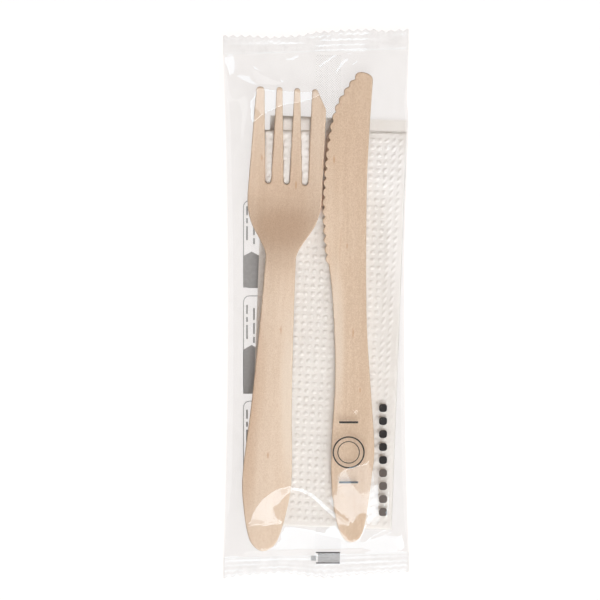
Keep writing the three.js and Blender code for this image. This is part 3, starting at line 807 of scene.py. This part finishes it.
def film_grid():
    """The sachet between its seals: places by row and column, from below, and its back's heights."""
    overhang = SEAL_WIDTH + CUT_DEPTH
    slope = END_SLOPE * cad_box[1][0]
    seal_low = cad_box[0][1] + overhang + slope
    seal_high = cad_box[1][1] - overhang - slope
    body = np.linspace(seal_low, seal_high, BODY_ROWS + 1)
    left, right, back = film_sides(np.clip(body, seal_low + SEAL_CLEARANCE, seal_high - SEAL_CLEARANCE))
    share = np.linspace(0, 1, FILM_COLUMNS + 1)
    x = left[:, None] + (right - left)[:, None] * share
    middle = (seal_low + seal_high) / 2
    bend = (2 * (body - middle) / (seal_high - seal_low)) ** 2
    y = body[:, None] + END_SLOPE * x * bend[:, None]
    ramp = np.maximum(1 - (body[-1] - body) / UPPER_RAMP, 1 - (body - body[0]) / LOWER_RAMP)
    foot = np.maximum(back, SEAL_LIFT * ramp)[:, None] + np.zeros(x.shape)
    return x, y, foot


def heights_under(trees, x, y):
    """The contents' height under each place, or a level far below."""
    found = np.full(x.shape, -FAR)
    for place in np.ndindex(x.shape):
        start = Vector((x[place], y[place], FAR))
        for tree in trees:
            hit = tree.ray_cast(start, DOWN)[0]
            if hit:
                found[place] = max(found[place], hit.z)
    return found


def spread(levels):
    """The highest of each point and its eight neighbours."""
    best = levels.copy()
    for row in (-1, 0, 1):
        for column in (-1, 0, 1):
            best = np.maximum(best, np.roll(np.roll(levels, row, 0), column, 1))
    return best


def hull_of(line):
    """The lowest curve over a line of heights that nowhere sags."""
    kept = [0]
    for place in range(1, len(line)):
        while len(kept) > 1:
            a, b = kept[-2:]
            if (line[b] - line[a]) * (place - a) > (line[place] - line[a]) * (b - a):
                break
            kept.pop()
        kept.append(place)
    return np.interp(np.arange(len(line)), kept, line[kept])


def taut_skin(levels, rounds):
    """A stiff skin over heights, with no sag along its rows or its columns."""
    skin = levels.copy()
    for _ in range(rounds):
        for row in range(1, skin.shape[0] - 1):
            skin[row] = hull_of(skin[row])
        for column in range(1, skin.shape[1] - 1):
            skin[:, column] = hull_of(skin[:, column])
    return skin


def softened(skin, rounds):
    """A skin with its sharpest folds eased, held at its rim."""
    eased = skin.copy()
    for _ in range(rounds):
        beside = eased[1:-1, 2:] + eased[1:-1, :-2] + eased[2:, 1:-1] + eased[:-2, 1:-1]
        eased[INNER] = 0.5 * eased[INNER] + 0.125 * beside
    return eased


def puffed(x, y, skin, shape, hinge, slope, fall):
    """A skin with one facet lifted like a lid from its hinge, falling steeply past its other sides."""
    rise = math.tan(math.radians(slope))
    drop = math.tan(math.radians(fall))
    lift = np.where(within(x, y, shape), rise * distance_to(x, y, hinge), 0)
    rim = polyline_points([*shape, shape[0]], COARSE_STEP)
    at_rim = rise * distance_to(rim[:, 0], rim[:, 1], hinge)
    for (rx, ry), height in zip(rim, at_rim):
        lift = np.maximum(lift, height - drop * np.hypot(x - rx, y - ry))
    return skin + lift


def pinched(x, y, skin, points, slope):
    """A skin drawn down to a line of pixels with heights in mm, rising on both sides."""
    bound = np.full(x.shape, 1.0)
    rise = math.tan(math.radians(slope))
    for px, py, height in polyline_points(points, COARSE_STEP):
        bound = np.minimum(bound, height * MM + rise * np.hypot(x - px, y - py))
    return np.minimum(skin, bound)


def wanted_falls(x, y, skin):
    """A skin's falls to its right and its front, turned to the glare lamp only in the glare shapes."""
    to_right = math.cos(math.radians(GLARE_AZIMUTH))
    to_front = -math.sin(math.radians(GLARE_AZIMUTH))
    fall_x = -np.gradient(skin, axis=1) / np.gradient(x, axis=1)
    fall_y = np.gradient(skin, axis=0) / np.gradient(y, axis=0)
    facing = np.degrees(np.arctan(to_right * fall_x + to_front * fall_y))
    across = np.degrees(np.arctan(to_front * fall_x - to_right * fall_y))
    view = VIEW_LEAN * y
    darkened = np.minimum(facing, (DARK_LEAN + view) / 2)
    wanted = np.where(np.abs(across) < GLARE_HALF_WIDTH, darkened, facing)
    for shape, lean in GLARES:
        inside = within(x, y, shape)
        wanted = np.where(inside, facing if lean is None else (lean + view) / 2, wanted)
        if lean:
            fall_x = np.where(inside, np.clip(fall_x, *SIDE_FALLS), fall_x)
    mended = (np.tan(np.radians(wanted)) - to_right * fall_x) / to_front
    return fall_x, np.where(wanted != facing, mended, fall_y)


def settled(x, y, skin, least):
    """A skin drawn towards its wanted falls, over its contents and near where it was."""
    fall_x, fall_y = wanted_falls(x, y, skin)
    step_x = -np.diff(x, axis=1) * (fall_x[:, 1:] + fall_x[:, :-1]) / 2
    step_y = np.diff(y, axis=0) * (fall_y[1:] + fall_y[:-1]) / 2
    pull_x = 1 / np.mean(np.diff(x, axis=1)) ** 2
    pull_y = 1 / np.mean(np.diff(y, axis=0)) ** 2
    hold = 1 / SKIN_REACH**2
    level = skin.copy()
    before = skin.copy()
    for _ in range(SKIN_ROUNDS):
        guess = level + SKIN_MOMENTUM * (level - before)
        beside = guess[1:-1, :-2] + step_x[1:-1, :-1] + guess[1:-1, 2:] - step_x[1:-1, 1:]
        along = guess[:-2, 1:-1] + step_y[:-1, 1:-1] + guess[2:, 1:-1] - step_y[1:, 1:-1]
        total = hold * skin[INNER] + pull_x * beside + pull_y * along
        drawn = 0.5 * guess[INNER] + 0.5 * total / (hold + 2 * pull_x + 2 * pull_y)
        before = level.copy()
        level[INNER] = np.maximum(drawn, least[INNER])
    return level


def draped(x, y, foot, least):
    """The front's heights: taut over the contents and the trapped air, with its facets."""
    rim = foot + FILM_RIM
    levels = np.maximum(rim, least)
    for points in SUPPORTS:
        for px, py, height in polyline_points(points, FINE_STEP):
            row = np.argmin(np.abs(y[:, FILM_COLUMNS // 2] - py))
            column = np.argmin(np.abs(x[row] - px))
            levels[row, column] = max(levels[row, column], height * MM)
    levels[[0, -1]] = SEAL_LIFT + SEAL_HALF
    levels[:, [0, -1]] = rim[:, [0, -1]]
    skin = softened(taut_skin(levels, TAUT_ROUNDS), EASE_ROUNDS)
    skin = puffed(x, y, skin, TINE_LID, TINE_HINGE, LID_SLOPE, LID_FALL)
    floor = np.maximum(least, rim)
    for points, slope in PINCHES:
        skin = np.maximum(pinched(x, y, skin, points, slope), floor)
    return settled(x, y, skin, floor)


def wrinkled(x, y, skin):
    """A skin with fine looseness all over and pleats gathered below its upper seal."""
    from_sides = np.minimum(x - x[:, :1], x[:, -1:] - x)
    from_ends = np.minimum(y - y[:1], y[-1:] - y)
    loose = noise_grid(x, y, 85, 60, 3.1) + 0.5 * noise_grid(x, y, 210, 150, 7.7)
    skin = skin + LOOSENESS * loose * smooth_step(0, CALM_MARGIN, np.minimum(from_sides, from_ends))
    pleats = noise_grid(x - PLEAT_LEAN * y, y, 230, 60, 1.7)
    gathered = between(PLEAT_START, PLEAT_END, y[-1:] - y)
    return skin + PLEAT_HEIGHT * pleats * gathered * smooth_step(0, CALM_MARGIN, from_sides)


def crease(x, y, skin, points, height, lit, dark):
    """A skin with a fold line through pixels, whose two sides fall off separately."""
    line = [from_pixel(*point) for point in points]
    total = sum((b - a).length for a, b in zip(line, line[1:]))
    gone = 0
    lift = np.zeros(skin.shape)
    for a, b in zip(line, line[1:]):
        length = (b - a).length
        way = (b - a) / length
        along = (x - a.x) * way.x + (y - a.y) * way.y
        side = (x - a.x) * way.y - (y - a.y) * way.x
        held = np.clip(along, 0, length)
        reach = np.where(side > 0, lit, dark) * MM
        away = np.hypot(side, along - held) / reach
        share = (gone + held) / total
        fade = np.clip(CREASE_FADE * share, 0, 1) * np.clip(CREASE_FADE * (1 - share), 0, 1)
        lift = np.maximum(lift, np.clip(1 - away, 0, 1) * fade)
        gone += length
    return skin + height * MM * lift


def film_front(x, y, foot, contents):
    """The finished front's heights, nowhere inside the contents."""
    least = spread(heights_under([tree_of(piece) for piece in contents], x, y)) + FILM_GAP
    skin = wrinkled(x, y, draped(x, y, foot, least))
    for points, height, lit, dark in CREASES:
        skin = crease(x, y, skin, points, height, lit, dark)
    skin[INNER] = np.maximum(skin[INNER], least[INNER])
    return skin


def film_back(x, foot, front):
    """The back's heights: flat, raised over the fin, its sides shared with the front."""
    fin = between((-FIN_EASE, 0), (FIN_WIDTH, FIN_WIDTH + FIN_EASE), x)
    back = foot + BACK_LIFT + (FIN_LIFT - BACK_LIFT) * fin
    back[:, [0, -1]] = front[:, [0, -1]]
    return back


def welded_band(x, y, side):
    upper = side > 0
    out = np.linspace(0, 1, BAND_ROWS + 1)[1:, None]
    px = to_pixel(x, y)[0]
    teeth = np.abs((x / CUT_PITCH) % 1 - 0.5) * 2 * CUT_DEPTH
    wave = np.interp(px, *zip(*(TOP_WAVE if upper else BOTTOM_WAVE))) / PIXELS_PER_METRE
    bx = x + np.zeros(out.shape)
    by = y + side * out * (SEAL_WIDTH + teeth + wave)
    bold = BOLD_RIDGE * between(BOLD_LEFT, BOLD_RIGHT, px) if upper else 0
    ridge = (RIDGE + bold) * (0.5 - 0.5 * np.cos(2 * math.pi * SEAL_RIDGES * out))
    crinkle = (UPPER_CRINKLE if upper else LOWER_CRINKLE) * noise_grid(bx, by, 120, 620, 5.5)
    bz = SEAL_LIFT + SEAL_HALF + ridge + crinkle * np.minimum(1, 3 * out)
    order = slice(None) if upper else slice(None, None, -1)
    return bx[order], by[order], bz[order]


def make_film(contents, finishes):
    """A front drawn taut over what it holds, a flat back, welded ends and a fin."""
    x, y, foot = film_grid()
    front = film_front(x, y, foot, contents)
    low = welded_band(x[0], y[0], -1)
    high = welded_band(x[-1], y[-1], 1)
    xs = np.vstack([low[0], x, high[0]])
    ys = np.vstack([low[1], y, high[1]])
    tops = np.vstack([low[2] + WELD, front, high[2] + WELD])
    feet = np.vstack([low[2] - WELD, film_back(x, foot, front), high[2] - WELD])
    for rim in (np.s_[0], np.s_[-1], np.s_[:, 0], np.s_[:, -1]):
        feet[rim] = tops[rim]

    bm = bmesh.new()
    rows = ys.shape[0] - 1
    place_grid(grid_of(bm, FILM_COLUMNS, rows), xs, ys, tops)
    made = set(bm.faces)
    place_grid(grid_of(bm, FILM_COLUMNS, rows), xs, ys, feet)
    bmesh.ops.reverse_faces(bm, faces=[face for face in bm.faces if face not in made])
    for face in bm.faces:
        centre = face.calc_center_median()
        below = centre.y < np.interp(centre.x, x[0], y[0])
        above = centre.y > np.interp(centre.x, x[-1], y[-1])
        face.material_index = CRIMPED if below or above else CLEAR
    bmesh.ops.remove_doubles(bm, verts=bm.verts, dist=1e-7)
    add_fin(bm, foot, y)
    bmesh.ops.recalc_face_normals(bm, faces=bm.faces)
    return finish_piece("clear_film", mesh_from(bm, "clear_film"), finishes, "film_sachet")


# Fin: its grid, and its heights over the back at its root, over its plies and under them
FIN_COLUMNS = 8
FIN_ROWS = 96
FIN_ROOT = 0.26 * MM
FIN_TOP = 0.14 * MM
FIN_FOOT = 0.04 * MM


def add_fin(bm, foot, y):
    """The fin: the film's two edges, knurled together and laid flat under the back."""
    picked = np.linspace(2, foot.shape[0] - 3, FIN_ROWS + 1).astype(int)
    along = y[picked, FILM_COLUMNS // 2][:, None]
    level = foot[picked, FILM_COLUMNS // 2][:, None]
    across = np.linspace(0, FIN_WIDTH, FIN_COLUMNS + 1)[None, :]
    xs = across + np.zeros(along.shape)
    ys = along + np.zeros(across.shape)
    top = level + np.where(across == 0, FIN_ROOT, FIN_TOP)
    low = level + FIN_FOOT + np.zeros(across.shape)
    for rim in (np.s_[0], np.s_[-1], np.s_[:, -1]):
        top[rim] = low[rim]
    before = set(bm.faces)
    for level_of in (top, low):
        place_grid(grid_of(bm, FIN_COLUMNS, FIN_ROWS), xs, ys, level_of)
    fresh = [face for face in bm.faces if face not in before]
    for face in fresh:
        face.material_index = KNURLED
    verts = list({vert for face in fresh for vert in face.verts})
    bmesh.ops.remove_doubles(bm, verts=verts, dist=1e-7)
    bmesh.ops.bridge_loops(bm, edges=[edge for edge in bm.edges if edge.is_boundary])


# Print: inks, and plain shapes as pixels with strokes, radii and roundings in mm
BLACK_INK = (0.018, 0.016, 0.016)
BROWN_INK = (0.12, 0.1, 0.09)
GREY_INK = (0.43, 0.43, 0.435)
UNDER_FRONT = -0.03 * MM
OVER_BACK = 0.04 * MM
PLATE_CENTRE = (348.5, 452)
PLATE_RINGS = [(5.6, 0.5), (3.9, 0.3)]
PLATE_BARS = [(339, 421, 358, 423), (339, 481, 358, 483)]
FIRST_DOT = (379, 404, 387, 412)
DOT_PITCH = 13
DOT_ROUNDING = 1.0
DOTS = 9
BLACK_DOTS = 5
PANELS = [(243, 200, 278, 288), (243, 295.5, 278, 394), (243, 401, 278, 500)]
PANEL_ROUNDING = 2.2
PANEL_STROKE = 0.28
ARROW_COLUMNS = (243, 251.5, 260)
ARROWS = [(251.5, 256, 287.5), (345, 350, 394)]
DASH_STARTS = (206, 305, 410)
DASH_WIDTH = 1.7
DASHES = {246: ((0, 9), (12, 17), (20, 34)), 253: ((3, 15), (18, 29), (32, 38))}
EYE_FIELDS = [(318, 553.5, 340, 562.5), (311, 556, 316, 561)]
EYE_LINES = [(316, 552.3, 340, 553.5), (316, 562.7, 340, 563.9)]


def lay_print(name, bm, finishes, film, above):
    """Lays flat shapes against the film: just under its front, or just over its back."""
    start_z = FAR if above else -FAR
    for vert in bm.verts:
        hit = film.ray_cast(Vector((vert.co.x, vert.co.y, start_z)), DOWN if above else UP)[0]
        vert.co.z = hit.z + (UNDER_FRONT if above else OVER_BACK)
    return finish_piece(name, mesh_from(bm, name), finishes)


def corners_of(left, top, right, bottom):
    return [(left, top), (right, top), (right, bottom), (left, bottom)]


def pad(bm, corners, rounding=0.0, ink_number=0):
    """A flat shape through pixels, its corners rounded, in one of its piece's inks."""
    verts = [bm.verts.new(from_pixel(*corner).to_3d()) for corner in corners]
    face = bm.faces.new(verts)
    face.material_index = ink_number
    face.normal_update()
    if face.normal.z < 0:
        face.normal_flip()
    if rounding:
        bmesh.ops.bevel(bm, geom=verts, offset=rounding * MM, segments=5, profile=0.5,
                        affect="VERTICES", material=-1)


def hollowed(bm, faces, stroke):
    """Leaves only a stroke along the rim of flat faces."""
    bmesh.ops.inset_region(bm, faces=faces, thickness=stroke * MM, use_boundary=True, use_even_offset=True)
    bmesh.ops.delete(bm, geom=faces, context="FACES")


def ring(bm, centre, radius, stroke):
    """A flat ring round a pixel."""
    made = bmesh.ops.create_circle(bm, cap_ends=True, segments=64, radius=radius * MM)["verts"]
    for vert in made:
        vert.co += from_pixel(*centre).to_3d()
    hollowed(bm, list({face for vert in made for face in vert.link_faces}), stroke)


def bordered(bm, corners, rounding, stroke):
    """A rounded outline through pixels."""
    before = set(bm.faces)
    pad(bm, corners, rounding)
    hollowed(bm, [face for face in bm.faces if face not in before], stroke)


def plate_mark():
    """Two rings between two bars."""
    bm = bmesh.new()
    for radius, stroke in PLATE_RINGS:
        ring(bm, PLATE_CENTRE, radius, stroke)
    for bar in PLATE_BARS:
        pad(bm, corners_of(*bar))
    return bm


def dot_row():
    """A column of rounded dots, the first ones black and the others brown."""
    bm = bmesh.new()
    left, top, right, bottom = FIRST_DOT
    for number in range(DOTS):
        down = DOT_PITCH * number
        corners = corners_of(left, top + down, right, bottom + down)
        pad(bm, corners, DOT_ROUNDING, 0 if number < BLACK_DOTS else 1)
    return bm


def back_panels():
    """Outlined panels with dashes in them, two with a pointed field."""
    bm = bmesh.new()
    for panel in PANELS:
        bordered(bm, corners_of(*panel), PANEL_ROUNDING, PANEL_STROKE)
    left, middle, right = ARROW_COLUMNS
    for apex, shoulder, foot in ARROWS:
        pad(bm, [(left, shoulder), (middle, apex), (right, shoulder), (right, foot), (left, foot)])
    for start in DASH_STARTS:
        for column, spans in DASHES.items():
            for top, bottom in spans:
                pad(bm, corners_of(column, start + top, column + DASH_WIDTH, start + bottom))
    return bm


def eye_mark():
    """A grey field between two black lines, and a smaller one beside it."""
    bm = bmesh.new()
    for field in EYE_FIELDS:
        pad(bm, corners_of(*field))
    for line in EYE_LINES:
        pad(bm, corners_of(*line), ink_number=1)
    return bm


def make_print(film):
    tree = tree_of(film)
    black = ink("dark_ink", BLACK_INK)
    brown = ink("brown_ink", BROWN_INK)
    grey = ink("grey_ink", GREY_INK)
    lay_print("plate_mark", plate_mark(), [black], tree, True)
    lay_print("dot_row", dot_row(), [black, brown], tree, True)
    lay_print("back_panels", back_panels(), [grey], tree, False)
    lay_print("eye_mark", eye_mark(), [grey, black], tree, False)


SKY = (1.0, 0.81, 0.67, 1)
SKY_STRENGTH = 0.315
FLOOR_GREY = (0.2, 0.2, 0.2, 1)
FLOOR_GLOW = (1, 0.97, 0.955, 1)
FLOOR_GLOW_STRENGTH = 0.86
FLOOR_HALF = 3
FLOOR_DROP = 0.1 * MM
SENSOR = 36
CAMERA_DISTANCE = 1.5
CAMERA_AIM_HEIGHT = 4 * MM
SHADING_LIGHT = (0.965, 1.0, 1.02)
GLARE_LIGHT = (0.68, 0.86, 1.0)

# Lamps: azimuth and lean in degrees, distance and size in metres, and radiance
SHADING_LAMPS = {
    "key": (-77, 43, 2.4, (1.5, 3.0), 4.7),
    "side": (-25, 58, 2.2, (0.9, 0.9), 4.3),
}
GLARE_LAMPS = {
    "glare_near": (GLARE_AZIMUTH, 15.45, 2.6, (1.63, 0.177), 5.2),
    "glare_far": (GLARE_AZIMUTH, 46.2, 2.4, (1.5, 2.64), 2.2),
    "glare_top": (106, 77, 2.4, (1.6, 0.75), 2.8),
}


def softbox(name, azimuth, lean, distance, size, radiance, mirrored):
    lamp = bpy.data.lights.new(name, "AREA")
    lamp.shape = "RECTANGLE"
    lamp.size, lamp.size_y = size
    lamp.energy = radiance * math.pi * size[0] * size[1]
    lamp.color = GLARE_LIGHT if mirrored else SHADING_LIGHT
    made = add_object(name, lamp)
    turn = math.radians(azimuth)
    fall = math.radians(lean)
    towards = Vector((math.sin(fall) * math.cos(turn), math.sin(fall) * math.sin(turn), math.cos(fall)))
    made.location = towards * distance
    made.rotation_euler = towards.to_track_quat("Z", "Y").to_euler()
    made.visible_glossy = mirrored
    made.visible_diffuse = not mirrored


def make_sky():
    world = bpy.data.worlds.new("studio")
    world.use_nodes = True
    fill(world.node_tree, world.node_tree.nodes["Background"], {"Color": SKY, "Strength": SKY_STRENGTH})
    bpy.context.scene.world = world


def floor_paper():
    made, tree, shader = new_material("floor_paper")
    path = add_node(tree, "ShaderNodeLightPath")
    seen = maths(tree, "MAXIMUM", path.outputs["Is Camera Ray"], path.outputs["Is Glossy Ray"])
    seen = maths(tree, "MAXIMUM", seen, path.outputs["Is Transmission Ray"])
    glow = maths(tree, "MULTIPLY", seen, FLOOR_GLOW_STRENGTH)
    fill(tree, shader, {"Base Color": FLOOR_GREY, "Roughness": 1.0, "Specular IOR Level": 0.0})
    fill(tree, shader, {"Emission Color": FLOOR_GLOW, "Emission Strength": glow})
    return made


def make_floor():
    bm = bmesh.new()
    bmesh.ops.create_grid(bm, x_segments=1, y_segments=1, size=FLOOR_HALF)
    for vert in bm.verts:
        vert.co.z = -FLOOR_DROP
    floor = add_object("floor", mesh_from(bm, "floor"))
    floor.data.materials.append(floor_paper())


def make_camera():
    camera = bpy.data.cameras.new("camera")
    camera.sensor_width = SENSOR
    camera.lens = SENSOR * CAMERA_DISTANCE * PIXELS_PER_METRE / PHOTO_PIXELS
    eye = add_object("camera", camera)
    aim = from_pixel(PHOTO_PIXELS / 2, PHOTO_PIXELS / 2)
    eye.location = (aim.x, aim.y, CAMERA_DISTANCE + CAMERA_AIM_HEIGHT)
    bpy.context.scene.camera = eye


def make_studio():
    bpy.context.scene.view_settings.view_transform = "Standard"
    make_sky()
    for name, values in SHADING_LAMPS.items():
        softbox(name, *values, False)
    for name, values in GLARE_LAMPS.items():
        softbox(name, *values, True)
    make_floor()
    make_camera()


grain = birch_grain()
fork_wood = birch("fork_birch", grain, FORK_TURN, **FORK_LOOK)
knife_wood = birch("knife_birch", grain, KNIFE_TURN, **KNIFE_LOOK)
fork = finish_piece("birch_fork", sanded_copy("fork", *FORK_SANDING), [fork_wood], "fork")
knife = finish_piece("birch_knife", sanded_copy("knife", *KNIFE_SANDING), [knife_wood], "knife")
napkin = make_napkin(tissue_paper(), fork)
film = make_film([fork, knife, napkin], [
    film_finish("film_clear", haze=0.024, roughness=0.04),
    film_finish("film_crimped", haze=0.05, roughness=0.28),
    knurled_finish("film_knurled", roughness=0.3),
])
make_print(film)
make_studio()
